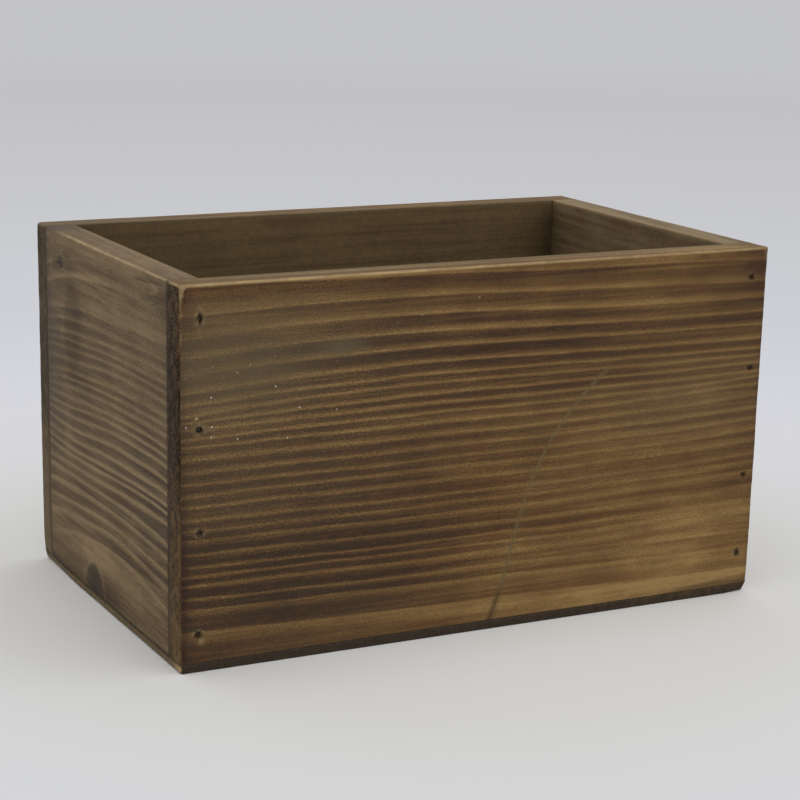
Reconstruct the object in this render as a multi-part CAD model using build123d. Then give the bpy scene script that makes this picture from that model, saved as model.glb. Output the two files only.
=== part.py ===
from build123d import *
import os

# An open box of stained softwood, nailed together from five boards.
# The front and back boards run the full length and cover the ends of the two
# end boards. A thin base panel lies under all four walls, flush with them.
# Steel brads are driven below the surface, each into a small torn pit.
# The origin is the middle of the underside. +X runs along the front board,
# +Y from the front board to the back board, and +Z up. Lengths are millimetres.

# Sizes of the boards
box_length = 256.0
box_depth = 161.0
wall_height = 142.4
board_thickness = 12.5
base_thickness = 3.8

# Edges sanded after the box was nailed up
corner_round = 1.5
rim_round = 1.3
mouth_round = 0.5
foot_round = 0.6

# The brads, stamped with a flat head and a chisel point
shank_width = 1.25
shank_thickness = 1.0
head_width = 2.0
head_thickness = 0.5
point_length = 1.6
wall_brad_length = 25.0
base_brad_length = 20.0

# How the brads sit in the wood
brad_set = 0.9
pit_end_margin = 0.25
pit_side_margin = 0.45
brad_clearance = 0.02

# How far every cutting solid runs past the face that it cuts
overrun = 1.0

# Where the wall brads are driven, as shares of the board thickness in from the
# end of the box, and of the wall height up from the base panel. They were
# driven by eye, so the rows are a little uneven.
left_inset_shares = (0.656, 0.627, 0.637, 0.579)
left_rise_shares = (0.913, 0.625, 0.354, 0.076)
right_inset_shares = (0.608, 0.445, 0.435, 0.502)
right_rise_shares = (0.916, 0.651, 0.334, 0.097)

# Where the base brads are driven, as shares of the half length and of the half
# depth from the middle of the box, along the middle of each wall's thickness.
long_row_shares = (-0.82, 0.02, 0.80)
short_row_shares = (-0.52, 0.50)

# Places worked out from the sizes
box_height = base_thickness + wall_height
half_length = box_length / 2
half_depth = box_depth / 2
mouth_half_length = half_length - board_thickness
mouth_half_depth = half_depth - board_thickness
clear_length = half_length + overrun
clear_depth = half_depth + overrun
clear_height = box_height + overrun


def block_between(across, along, up):
    """A plain block that fills a span along each of X, Y and Z."""
    spans = (across, along, up)
    size = [max(span) - min(span) for span in spans]
    middle = [(max(span) + min(span)) / 2 for span in spans]
    return Pos(*middle) * Box(*size)


def sanded_outside():
    """The whole box as one block, with the edges that sanding rounded.

    The boards are cut from this block, so a rounded edge runs on unbroken
    from one board to the next, as it does where the assembled box is sanded.
    """
    block = block_between((-half_length, half_length), (-half_depth, half_depth), (0, box_height))
    block = fillet(block.edges().filter_by(Axis.Z), corner_round)
    block = fillet(block.edges().group_by(Axis.Z)[-1], rim_round)
    return fillet(block.edges().group_by(Axis.Z)[0], foot_round)


def wall_ring(outside):
    """The four walls in one, hollow, with the inner edge of the rim eased."""
    below = block_between(
        (-clear_length, clear_length), (-clear_depth, clear_depth), (-overrun, base_thickness)
    )
    hollow = block_between(
        (-mouth_half_length, mouth_half_length),
        (-mouth_half_depth, mouth_half_depth),
        (0, clear_height),
    )
    ring = outside - [below, hollow]
    rim = ring.faces().sort_by(Axis.Z)[-1]
    return fillet(rim.inner_wires()[0].edges(), mouth_round)


def long_board(ring, face):
    """The front board (face -1) or the back board (face 1), before nailing."""
    along = (face * mouth_half_depth, face * clear_depth)
    return ring & block_between((-clear_length, clear_length), along, (0, clear_height))


def end_board(ring, end):
    """The left end board (end -1) or the right one (end 1), before nailing."""
    across = (end * mouth_half_length, end * clear_length)
    return ring & block_between(across, (-mouth_half_depth, mouth_half_depth), (0, clear_height))


def base_panel(outside):
    """The thin panel that the walls stand on, as long and deep as the box."""
    across = (-clear_length, clear_length)
    along = (-clear_depth, clear_depth)
    return outside & block_between(across, along, (-overrun, base_thickness))


def brad_blank(length, top, gap):
    """A brad's flat T shape with its chisel point, grown by a gap all round.

    The wood's surface is at zero and the point is below it. The head's upper
    end is at top, so the same outline makes the brad and its track.
    """
    head = head_width / 2 + gap
    shank = shank_width / 2 + gap
    neck = -brad_set - head_thickness - gap
    tip = -brad_set - length - gap
    shoulder = tip + point_length
    outline = Polyline(
        (-head, top),
        (head, top),
        (head, neck),
        (shank, neck),
        (shank, shoulder),
        (0, tip),
        (-shank, shoulder),
        (-shank, neck),
        (-head, neck),
        close=True,
    )
    return extrude(Plane.XZ * make_face(outline), shank_thickness / 2 + gap, both=True)


def brad(length):
    """One steel brad, set below the surface of the wood."""
    return brad_blank(length, -brad_set, 0)


def brad_track(length):
    """What a brad takes out of the wood: its own track and the torn pit above."""
    bottom = Ellipse(head_width / 2, shank_thickness / 2)
    mouth = Ellipse(head_width / 2 + pit_end_margin, shank_thickness / 2 + pit_side_margin)
    pit = loft([Pos(0, 0, -brad_set) * bottom, mouth]) + extrude(mouth, overrun)
    return brad_blank(length, overrun, brad_clearance) + pit


def upright_row(end, face, inset_shares, rise_shares):
    """The places of one upright row of brads, with the head's width upright.

    The row is at the left (end -1) or right (end 1) of the front board
    (face -1) or of the back board (face 1), and goes into the end board.
    """
    turn = Rot(X=-90 * face) * Rot(Z=90)
    row = []
    for inset_share, rise_share in zip(inset_shares, rise_shares):
        across = end * (half_length - board_thickness * inset_share)
        up = base_thickness + wall_height * rise_share
        row.append(Pos(across, face * half_depth, up) * turn)
    return row


def long_row(face):
    """The places of the brads up through the panel into a long board."""
    along = face * (half_depth - board_thickness / 2)
    return [Pos(half_length * share, along, 0) * Rot(X=180) for share in long_row_shares]


def short_row(end):
    """The places of the brads up through the panel into an end board."""
    across = end * (half_length - board_thickness / 2)
    turn = Rot(X=180) * Rot(Z=90)
    return [Pos(across, half_depth * share, 0) * turn for share in short_row_shares]


# The hidden back is nailed like the front, seen from its own side
wall_rows = {
    "front_left_brads": upright_row(-1, -1, left_inset_shares, left_rise_shares),
    "front_right_brads": upright_row(1, -1, right_inset_shares, right_rise_shares),
    "back_left_brads": upright_row(-1, 1, right_inset_shares, right_rise_shares),
    "back_right_brads": upright_row(1, 1, left_inset_shares, left_rise_shares),
}
base_rows = {
    "base_front_brads": long_row(-1),
    "base_back_brads": long_row(1),
    "base_left_brads": short_row(-1),
    "base_right_brads": short_row(1),
}

outside = sanded_outside()
ring = wall_ring(outside)
boards = {
    "front_board": long_board(ring, -1),
    "back_board": long_board(ring, 1),
    "left_end_board": end_board(ring, -1),
    "right_end_board": end_board(ring, 1),
    "base_panel": base_panel(outside),
}

# Which rows of brads go into or through each board
nailing = {
    "front_board": ("front_left_brads", "front_right_brads", "base_front_brads"),
    "back_board": ("back_left_brads", "back_right_brads", "base_back_brads"),
    "left_end_board": ("front_left_brads", "back_left_brads", "base_left_brads"),
    "right_end_board": ("front_right_brads", "back_right_brads", "base_right_brads"),
    "base_panel": tuple(base_rows),
}

pieces = {}
tracks = {}
for rows, length in ((wall_rows, wall_brad_length), (base_rows, base_brad_length)):
    one_brad = brad(length)
    one_track = brad_track(length)
    for name, row in rows.items():
        pieces[name] = Compound([place * one_brad for place in row])
        tracks[name] = [place * one_track for place in row]

for name, board in boards.items():
    pieces[name] = board - [track for row in nailing[name] for track in tracks[row]]

os.makedirs("parts", exist_ok=True)
for name, piece in pieces.items():
    piece.label = name
    export_step(piece, f"parts/{name}.step")
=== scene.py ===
import bpy
import numpy as np
from mathutils import Matrix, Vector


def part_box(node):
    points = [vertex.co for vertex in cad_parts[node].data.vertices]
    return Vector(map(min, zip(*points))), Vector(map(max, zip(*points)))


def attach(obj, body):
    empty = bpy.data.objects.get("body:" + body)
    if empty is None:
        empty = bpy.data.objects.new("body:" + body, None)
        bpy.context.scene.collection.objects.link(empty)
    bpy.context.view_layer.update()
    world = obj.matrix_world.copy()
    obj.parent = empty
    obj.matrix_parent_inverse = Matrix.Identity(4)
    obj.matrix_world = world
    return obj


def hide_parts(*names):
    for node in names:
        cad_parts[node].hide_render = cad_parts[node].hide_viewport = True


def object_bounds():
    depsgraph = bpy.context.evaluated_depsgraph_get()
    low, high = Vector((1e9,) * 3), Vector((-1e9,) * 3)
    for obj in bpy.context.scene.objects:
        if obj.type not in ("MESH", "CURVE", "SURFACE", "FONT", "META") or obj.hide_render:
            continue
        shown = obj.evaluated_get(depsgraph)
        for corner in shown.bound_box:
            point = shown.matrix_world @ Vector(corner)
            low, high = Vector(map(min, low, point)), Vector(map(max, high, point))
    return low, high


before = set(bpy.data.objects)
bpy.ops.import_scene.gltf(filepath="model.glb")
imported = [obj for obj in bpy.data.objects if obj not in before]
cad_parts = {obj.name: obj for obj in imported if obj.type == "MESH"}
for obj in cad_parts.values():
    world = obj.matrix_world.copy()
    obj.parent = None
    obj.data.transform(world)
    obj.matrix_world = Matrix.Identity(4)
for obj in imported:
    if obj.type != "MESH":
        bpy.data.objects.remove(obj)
cad_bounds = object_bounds()

# The left end board. A flat-sawn softwood board, butted between the front and
# back boards and held by their brads. Its stain has greyed a little more than
# the front's. A knot is cut through at its foot and a small one near its top.

MM = 0.001

# Each face of a box: its axis, and 0 or 1 for the low or the high end of it
FACES = {"left": (0, 0), "right": (0, 1), "front": (1, 0), "back": (1, 1), "under": (2, 0), "top": (2, 1)}

# Radii of the edges, and the shares of a radius at which grid lines cross it
joint_round = 0.25 * MM
rim_round = 1.3 * MM
mouth_round = 0.5 * MM
edge_shares = np.array([0, 0.22, 0.45, 0.7, 1.0])

# Steps of the grid: along an end board, up a wall, through it and by a scratch
end_board_step = 2.0 * MM
wall_row_step = 0.6 * MM
thickness_step = 1.6 * MM
scratch_step = 0.55 * MM

# How far from a sharp edge the stain is rubbed off, and how deep the soft wood
# between the rings' dark lines has worn
wear_reach = 1.1 * MM
ring_relief = 0.03 * MM

# The places below are measured from lines this far inside the ends and the rim
drawn_inset = 1.0 * MM
drawn_drop = 0.4 * MM

# Corners of the foot that were knocked in: their two sides, then the push, the
# height that it fades over and its reach along the sides, in millimetres.
knocked_corners = (
    ("left", "back", 1.25, 5, 48),
    ("right", "front", 1.0, 3, 12),
)

# Where the ring edges cross the left face: each row is one edge, in millimetres
# below the rim at four places, which are millimetres in from the back.
left_places = (21.7, 51.7, 81.7, 136.7)
left_edges = (
    (19.6, 14.5, 12.2, 9.8),
    (31.0, 27.9, 26.2, 24.0),
    (35.6, 32.6, 31.2, 29.8),
    (41.0, 37.9, 36.0, 34.2),
    (43.9, 41.3, 39.6, 38.0),
    (47.4, 44.8, 42.8, 41.5),
    (52.0, 49.3, 46.8, 45.1),
    (57.5, 54.5, 52.3, 50.6),
    (60.5, 57.5, 55.6, 54.0),
    (63.9, 61.1, 59.2, 57.6),
    (67.7, 65.6, 63.6, 62.1),
    (71.5, 69.1, 66.9, 65.5),
    (74.6, 73.1, 70.9, 69.2),
    (79.0, 78.4, 76.3, 74.6),
    (83.5, 82.9, 81.3, 79.7),
    (87.4, 87.3, 85.8, 84.0),
    (90.5, 90.4, 88.6, 86.6),
    (95.2, 94.2, 92.8, 91.0),
    (98.7, 98.3, 97.2, 97.6),
    (104.6, 102.8, 101.9, 102.9),
    (111.8, 109.4, 107.9, 109.4),
    (117.6, 114.4, 112.5, 114.5),
    (127.2, 121.6, 118.8, 122.8),
)

# Patches of the stain: along and down to the middle, half width and height, all
# in millimetres, then hardness and the changes of depth, of contrast and of haze,
# where zeros at the end are left out.
left_patches = (
    (43, 38, 10, 20, 4, 0.18, -0.05, -0.10),
    (36, 79, 4, 15, 2, -0.16, -0.05, 0.10),
    (30.5, 36, 1.4, 9, 2, -0.15),
    (60, 6, 60, 7, 2, 0, -0.20),
    (116, 60, 34, 60, 3, -0.13),
    (50, 70, 60, 60, 3, -0.05),
    (66, 13.4, 22, 2.6, 2, -0.20, 0.45),
    (80, 1, 84, 3.5, 3, -0.30, -0.15),
    (75, 19, 26, 5, 2, -0.18),
    (80, 18, 90, 6, 3, -0.07),
    (70, 30, 110, 42, 4, 0, -0.12),
    (122, 28, 36, 30, 3, 0, -0.14),
    (118, 82, 50, 22, 2, 0.02, 0.18, 0.05),
    (118, 112, 44, 12, 2, 0, -0.08),
    (74, 95, 17, 16, 2, -0.15),
    (30, 86, 24, 16, 2, -0.06, 0.08),
    (22, 114, 32, 14, 3, -0.12, -0.05),
    (72, 124.5, 22, 4, 2, -0.45, -0.20),
    (80, 124, 95, 6, 3, -0.14, -0.10),
    (80, 136, 95, 11, 3, -0.04, -0.40),
    (110, 116, 40, 3.5, 2, 0.12, 0.10),
    (136, 22, 16, 8, 2, -0.08),
    (44, 139, 14, 5, 2, 0.22),
    (85, 139, 10, 7, 2, 0.32),
    (83, 112, 13, 7, 2, -0.16),
    (84, 89, 15, 6, 2, -0.12),
    (60, 5, 18, 5, 2, 0.07),
    (66, 100, 12, 6, 2, 0.12),
    (132, 48, 13, 14, 2, 0.10),
    (53, 71, 12, 6, 2, 0.06),
    (40, 88, 10, 6, 2, -0.08),
    (66, 125.5, 15, 4.5, 2, -0.18),
    (139, 124, 7, 7, 2, -0.12),
    (99, 41, 8, 6, 2, 0.06),
    (74, 141, 10, 7, 1, 0.28),
    (51, 30, 13, 5, 2, 0.08),
    (58, 56, 10, 8, 2, 0.07),
    (112, 65, 20, 5, 2, -0.07),
    (12, 10, 2.2, 26, 2, 0.22),
    (11, 54, 5.5, 22, 2, 0.26),
    (18, 142, 16, 3, 2, 0.24),
    (136, 82, 20, 13, 2, 0, 0.20),
    (134, 5, 16, 7, 3, 0.06, -0.45),
    (12, 54, 15, 34, 2, 0.12, -0.05, 0.45),
    (18, -0.4, 8, 0.5, 2, 0.20, 0, 0.20),
)

# Knots: the middle, in from the back and down, half sizes, darkness, and how much
# lighter the knot is inside its dark outline
left_knots = (
    ((65.8, 141), (9.4, 10.0), 1.0, 0.05),
    ((29.2, 11.6), (4.0, 2.5), 0.85, 0.0),
    ((25.5, 12.2), (6.0, 2.6), 0.35, 0.0),
    ((36, 8.6), (4, 2.2), 0.35, 0.0),
)

# How much lighter the rim is than the face on the left and on the right end board
rim_lighter = (-0.14, 0.34)

# Faint scratches on the end boards, each from one place to another
end_scratches = (
    ((64, 66), (81, 56.5)),
    ((133, 98), (143.5, 109)),
)

# A ring that turns back near the top front corner, with darker wood outside it:
# its middle and its half sizes
turned_ring = ((121, 5.2), (18.5, 3.2))


def smooth(value, low, high):
    """0 below low and 1 above high, with a cubic step between them."""
    share = np.clip((value - low) / (high - low), 0, 1)
    return share * share * (3 - 2 * share)


def past(length, low, high):
    """0 where a length is below low and 1 where it is above high, both in millimetres."""
    return smooth(length, low * MM, high * MM)


def bell(value, middle, reach):
    """1 at the middle, and exp(-(d / reach)^2) at the distance d from it."""
    return np.exp(-(((value - middle) / reach) ** 2))


def ripple(points, reach, seed):
    """Unevenness from about -1 to 1: twelve sine waves in random directions, added.

    Each wave is about one reach long, in millimetres. It may differ by axis.
    """
    random = np.random.default_rng(seed)
    count = 12
    waves = random.normal(size=(3, count)) * 3 / (np.reshape(reach, (-1, 1)) * MM)
    return np.sin(points @ waves + random.uniform(0, 6.3, count)).sum(axis=1) / count**0.5 / 1.4


def grid_lines(low, high, step, edge, near=()):
    """Grid lines from low to high along one axis.

    They lie close together over the rounded edges, an even step apart between
    them, and close together again over each span in near: (from, to, step).
    A line that would lie too close before the next one is left out.
    """
    count = max(1, round((high - low - 2 * edge) / step))
    lines = [low + edge * edge_shares, high - edge * edge_shares]
    lines.append(np.linspace(low + edge, high - edge, count + 1))
    lines += [np.arange(start, end, fine) for start, end, fine in near]
    lines = np.unique(np.concatenate(lines))
    finest = min([edge * 0.15, step * 0.4] + [fine * 0.45 for start, end, fine in near])
    kept = np.append(np.diff(lines) > finest, True)
    kept[0] = True
    return lines[kept]


def box_shell(lines):
    """The six sides of a box as grids that share the points along its edges.

    A point is (x_i, y_j, z_k), where at least one of i, j and k is the first
    or the last. Each side is the sheet of the points with that index fixed.
    Returns the points, the quads with outward corners, and each quad's side.
    """
    counts = [len(line) for line in lines]
    grid = np.stack(np.meshgrid(*lines, indexing="ij"), axis=-1)
    shown = np.ones(counts, bool)
    shown[1:-1, 1:-1, 1:-1] = False
    number = np.full(counts, -1)
    number[shown] = np.arange(shown.sum())
    quads = []
    sides = []
    for axis in range(3):
        for end in (0, 1):
            sheet = np.take(number, -end, axis=axis)
            corners = (sheet[:-1, :-1], sheet[1:, :-1], sheet[1:, 1:], sheet[:-1, 1:])
            corners = np.stack(corners, axis=-1).reshape(-1, 4)
            outward = (end == 1) != (axis == 1)
            quads.append(corners if outward else corners[:, ::-1])
            sides.append(np.full(len(corners), 2 * axis + end))
    return grid[shown], np.concatenate(quads), np.concatenate(sides)


def dent(points, middle, reach, hard=2):
    """1 at the middle of an oval and 0 far outside it: 1 / (1 + r^(2 hard))."""
    r2 = (((points - middle) / reach) ** 2).sum(axis=1)
    return 1 / (1 + r2**hard)


def to_face(points, low, high, face):
    """How far each point lies in from one face of the box from low to high."""
    axis, end = FACES[face]
    return high[axis] - points[:, axis] if end else points[:, axis] - low[axis]


def from_ends(points, low, high, axis):
    """How far each point lies in from the nearer end of the box along one axis."""
    return np.minimum(points[:, axis] - low[axis], high[axis] - points[:, axis])


def round_sizes(points, low, high, rounds, seed):
    """The rounding radius at each point: a mean over the edges, where near ones count most.

    An edge at the distance d weighs 1 / (d^2 + 0.3^2)^2, in millimetres. One
    that rounds leaves out has the small radius of a joint. Wear makes it uneven.
    """
    total = np.zeros(len(points))
    weights = np.zeros(len(points))
    names = list(FACES)
    pairs = [(a, b) for i, a in enumerate(names) for b in names[i + 1 :] if FACES[a][0] != FACES[b][0]]
    for a, b in pairs:
        radius = rounds.get((a, b), rounds.get((b, a), joint_round))
        apart = np.hypot(to_face(points, low, high, a), to_face(points, low, high, b))
        weight = 1 / (apart**2 + (0.3 * MM) ** 2) ** 2
        total += weight * radius
        weights += weight
    uneven = 1 + 0.16 * ripple(points, 22, seed) + 0.08 * ripple(points, 5, seed + 1)
    return total / weights * uneven


def rounded(points, low, high, radius, depth):
    """Round the edges and sink the surface by depth.

    The core of a point is the point moved into the box that is smaller by the
    radius all round. The surface lies one radius, less depth, out from it.
    """
    core = np.clip(points, low + radius[:, None], high - radius[:, None])
    out = points - core
    out /= np.linalg.norm(out, axis=1, keepdims=True)
    return core + out * (radius - depth)[:, None]


def knocked(points):
    """Push in the knocked corners of the foot.

    At height z, and at the distance r from the corner in plan, the push along
    each of X and Y is the most times exp(-z / height), and falls to 0 at reach.
    """
    low, high = (np.array(corner) for corner in cad_bounds)
    for side, face, most, height, reach in knocked_corners:
        r = np.hypot(to_face(points, low, high, side), to_face(points, low, high, face))
        push = most * MM * np.exp(-points[:, 2] / (height * MM)) * (1 - past(r, 0, reach))
        for axis, end in (FACES[side], FACES[face]):
            points[:, axis] += push * (1 - 2 * end)
    return points


def ring_count(down, along, places, edges):
    """How many ring edges lie above each point, and the width of its ring.

    Each edge runs through its four heights as the cubic curve of Lagrange. The
    count grows evenly from one edge to the next, so it has no jump anywhere.
    Beyond the first and last edges, eight more follow, 7 mm apart.
    """
    edges = np.array(edges) * MM
    places = np.array(places) * MM
    spare = np.arange(8, 0, -1)[:, None] * 7 * MM
    edges = np.vstack([edges[0] - spare, edges, edges[-1] + spare[::-1]])
    curve = []
    for i, place in enumerate(places):
        others = np.delete(places, i)
        curve.append(np.prod((along[:, None] - others) / (place - others), axis=1))
    heights = np.stack(curve, axis=1) @ edges.T
    above = np.clip((heights <= down[:, None]).sum(axis=1), 1, len(edges) - 1)
    upper = np.take_along_axis(heights, above[:, None] - 1, axis=1)[:, 0]
    lower = np.take_along_axis(heights, above[:, None], axis=1)[:, 0]
    count = above + (down - upper) / (lower - upper)
    widths = np.diff(edges.mean(axis=1))
    width = np.interp(count, np.arange(len(widths)) + 1.5, widths)
    return count, width


def ring_dark(count, turn):
    """How dark a ring is at its count, from 0 for early wood to 1 for late wood.

    Where turn is 0 the dark wood starts sharply below an edge and fades down
    to the next. Where turn is 1 it is the other way up.
    """
    share = count % 1
    fading = (1 - smooth(share, 0.2, 0.95)) * smooth(share, 0, 0.06)
    growing = smooth(share, 0.1, 0.85) * (1 - smooth(share, 0.94, 1))
    return fading * (1 - turn) + growing * turn


def stain_patches(marks, place, patches):
    """Add each patch's changes to the marks, weighed as a dent at its place."""
    for along, down, wide, high, hard, *changes in patches:
        weight = dent(place / MM, (along, down), (wide, high), hard)
        for mark, change in zip(("depth", "contrast", "haze"), changes):
            marks[mark] += weight * change


def new_marks(count):
    """Empty marks for each point of a board, but the usual depth, contrast and fine grain."""
    names = ("count", "width", "turn", "haze", "bare", "grime", "dull", "end", "score", "dust")
    marks = {name: np.zeros(count) for name in names}
    marks["speckle"] = np.ones(count)
    marks["depth"] = np.full(count, 0.5)
    marks["contrast"] = np.full(count, 0.45)
    return marks


def wall_parts(inward, down):
    """How much each point belongs to the inner face, and how much to the rim, from 0 to 1."""
    return past(inward, 8, 11.5), 1 - past(down, 0.2, 1.5)


def painted_corner_shade(inside, from_corner, down, reach):
    """Painted shade in an inside corner: exp(-d / reach) at the distance d from it."""
    return inside * np.exp(-np.abs(from_corner) / reach) * past(down, 0, 10)


def ring_hollow(marks):
    """How far the surface has sunk: by ring_relief in soft wood, not at all in dark wood."""
    return (1 - ring_dark(marks["count"], marks["turn"])) * ring_relief


def worn_edges(marks, points, low, high, worn):
    """Wear the stain off the edges of the rim.

    worn holds an amount and a reach for each worn edge, which is named by its
    two faces. Each point counts by how far it lies in from the further of the two.
    """
    uneven = 0.8 + 0.3 * ripple(points, 9, 5) + 0.25 * ripple(points, 2.5, 6)
    for (a, b), (amount, reach) in worn.items():
        apart = np.maximum(to_face(points, low, high, a), to_face(points, low, high, b))
        near = 1 - smooth(apart, 0.35 * reach, reach)
        marks["bare"] = np.maximum(marks["bare"], amount * near * np.clip(uneven, 0, 1))


def line_mark(place, start, end, reach):
    """1 on a line from start to end, and exp(-(d / reach)^2) at the distance d from it."""
    start = np.array(start) * MM
    run = np.array(end) * MM - start
    share = np.clip((place - start) @ run / (run @ run), 0, 1)
    apart = np.linalg.norm(place - start - share[:, None] * run, axis=1)
    return bell(apart, 0, reach)


def wood_piece(name, node, points, quads, sides, flat, marks, material):
    """Make a board's mesh, with its marks as attributes and a map for its six sides.

    flat holds the points of the grid before rounding, and lays out the map.
    """
    mesh = bpy.data.meshes.new(name)
    mesh.from_pydata(knocked(points), [], quads)
    for mark, values in marks.items():
        mesh.attributes.new(mark, "FLOAT", "POINT").data.foreach_set("value", values)
    gap = 2 * MM
    low = flat.min(axis=0)
    length, depth, height = flat.max(axis=0) - low
    corner = flat[quads] - low

    # Each side's place in the map: its two axes, then how far right and up it lies
    spots = {
        0: (1, 2, length + gap, 0),
        1: (1, 2, length + gap, height + gap),
        2: (0, 2, 0, 0),
        3: (0, 2, 0, height + gap),
        4: (0, 1, 0, 2 * (height + gap)),
        5: (0, 1, 0, 2 * (height + gap) + depth + gap),
    }
    extent = max(length + gap + depth, 2 * (height + gap) + 2 * (depth + gap))
    uv = np.zeros((len(quads), 4, 2))
    for side, (a, b, right, up) in spots.items():
        on = sides == side
        uv[on, :, 0] = (corner[on, :, a] + right + gap / 2) / (extent + gap)
        uv[on, :, 1] = (corner[on, :, b] + up + gap / 2) / (extent + gap)
    mesh.uv_layers.new(name="OFBake").data.foreach_set("uv", uv.ravel())
    mesh.polygons.foreach_set("use_smooth", np.ones(len(quads), bool))
    mesh.materials.append(material)
    mesh.update()
    piece = bpy.data.objects.new(name, mesh)
    bpy.context.scene.collection.objects.link(piece)
    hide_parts(node)
    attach(piece, "root")
    return piece


def tint(red, green, blue):
    """A colour as a screen shows it, from 0 to 255, turned into light."""
    share = np.array([red, green, blue]) / 255
    light = np.where(share <= 0.04045, share / 12.92, ((share + 0.055) / 1.055) ** 2.4)
    return (*light, 1.0)


class Value:
    """A number that varies over a surface. Arithmetic on it adds Math nodes."""

    def __init__(self, finish, socket):
        self.finish = finish
        self.socket = socket

    def math(self, operation, *others):
        parts = dict(enumerate((self, *others)))
        node = self.finish.node("ShaderNodeMath", {"operation": operation}, parts)
        return Value(self.finish, node.outputs[0])

    def __add__(self, other):
        return self.math("ADD", other)

    def __mul__(self, other):
        return self.math("MULTIPLY", other)

    def __sub__(self, other):
        return self.math("SUBTRACT", other)

    def __rsub__(self, other):
        node = self.finish.node("ShaderNodeMath", {"operation": "SUBTRACT"}, {0: other, 1: self})
        return Value(self.finish, node.outputs[0])

    def __truediv__(self, other):
        return self.math("DIVIDE", other)

    __radd__ = __add__
    __rmul__ = __mul__

    def step(self, low, high):
        """0 below low and 1 above high, with a smooth step between them."""
        node = self.finish.node(
            "ShaderNodeMapRange",
            {"interpolation_type": "SMOOTHSTEP"},
            {"Value": self, "From Min": low, "From Max": high},
        )
        return Value(self.finish, node.outputs[0])


class Finish:
    """A material's tree of nodes, all of them added by one method."""

    def __init__(self, name):
        self.material = bpy.data.materials.new(name)
        self.material.use_nodes = True
        self.tree = self.material.node_tree
        self.tree.nodes.clear()
        self.place = self.node("ShaderNodeTexCoord").outputs["Object"]

    def node(self, kind, settings=(), parts=()):
        """Add a node: its settings first, then the values and links of its sockets."""
        node = self.tree.nodes.new(kind)
        for name, setting in dict(settings).items():
            if name == "stops":
                ramp = node.color_ramp
                while len(ramp.elements) < len(setting):
                    ramp.elements.new(1.0)
                for element, (position, colour) in zip(ramp.elements, setting):
                    element.position = position
                    element.color = colour
            else:
                setattr(node, name, setting)
        for name, part in dict(parts).items():
            if isinstance(part, Value):
                part = part.socket
            if isinstance(part, bpy.types.NodeSocket):
                self.tree.links.new(part, node.inputs[name])
            else:
                node.inputs[name].default_value = part
        return node

    def mark(self, name):
        """A board's mark of that name."""
        node = self.node("ShaderNodeAttribute", {"attribute_name": name})
        return Value(self, node.outputs["Fac"])

    def noise(self, sizes, detail=3, rough=0.55, shift=0.0):
        """Noise from 0 to 1. Its lumps have one size, or sizes along X, Y and Z, in millimetres."""
        scale = tuple(1 / (np.broadcast_to(sizes, 3) * MM))
        place = self.node(
            "ShaderNodeMapping", {}, {"Vector": self.place, "Location": (shift, shift, shift), "Scale": scale}
        )
        parts = {"Vector": place.outputs[0], "Scale": 1.0, "Detail": detail, "Roughness": rough}
        node = self.node("ShaderNodeTexNoise", {"noise_dimensions": "3D"}, parts)
        return Value(self, node.outputs[0])

    def blend(self, share, first, second):
        """The colour between first and second."""
        settings = {"data_type": "RGBA", "clamp_factor": True}
        return self.node("ShaderNodeMix", settings, {0: share, 6: first, 7: second}).outputs[2]

    def surface(self, colour, rough, height, rise, metallic=0.0, specular=0.35):
        """End the tree in one shader, whose bump is rise high where height is 1."""
        bump = self.node("ShaderNodeBump", {}, {"Strength": 1.0, "Distance": rise, "Height": height})
        parts = {
            "Base Color": colour,
            "Roughness": rough,
            "Metallic": metallic,
            "Specular IOR Level": specular,
            "Normal": bump.outputs[0],
        }
        shader = self.node("ShaderNodeBsdfPrincipled", {}, parts)
        self.node("ShaderNodeOutputMaterial", {}, {"Surface": shader.outputs[0]})
        return self.material


def along_grain(grain, long, short):
    """Sizes of lumps that are long along the grain, 0 for X or 1 for Y, and short across it."""
    return tuple(long if axis == grain else short for axis in range(3))


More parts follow.
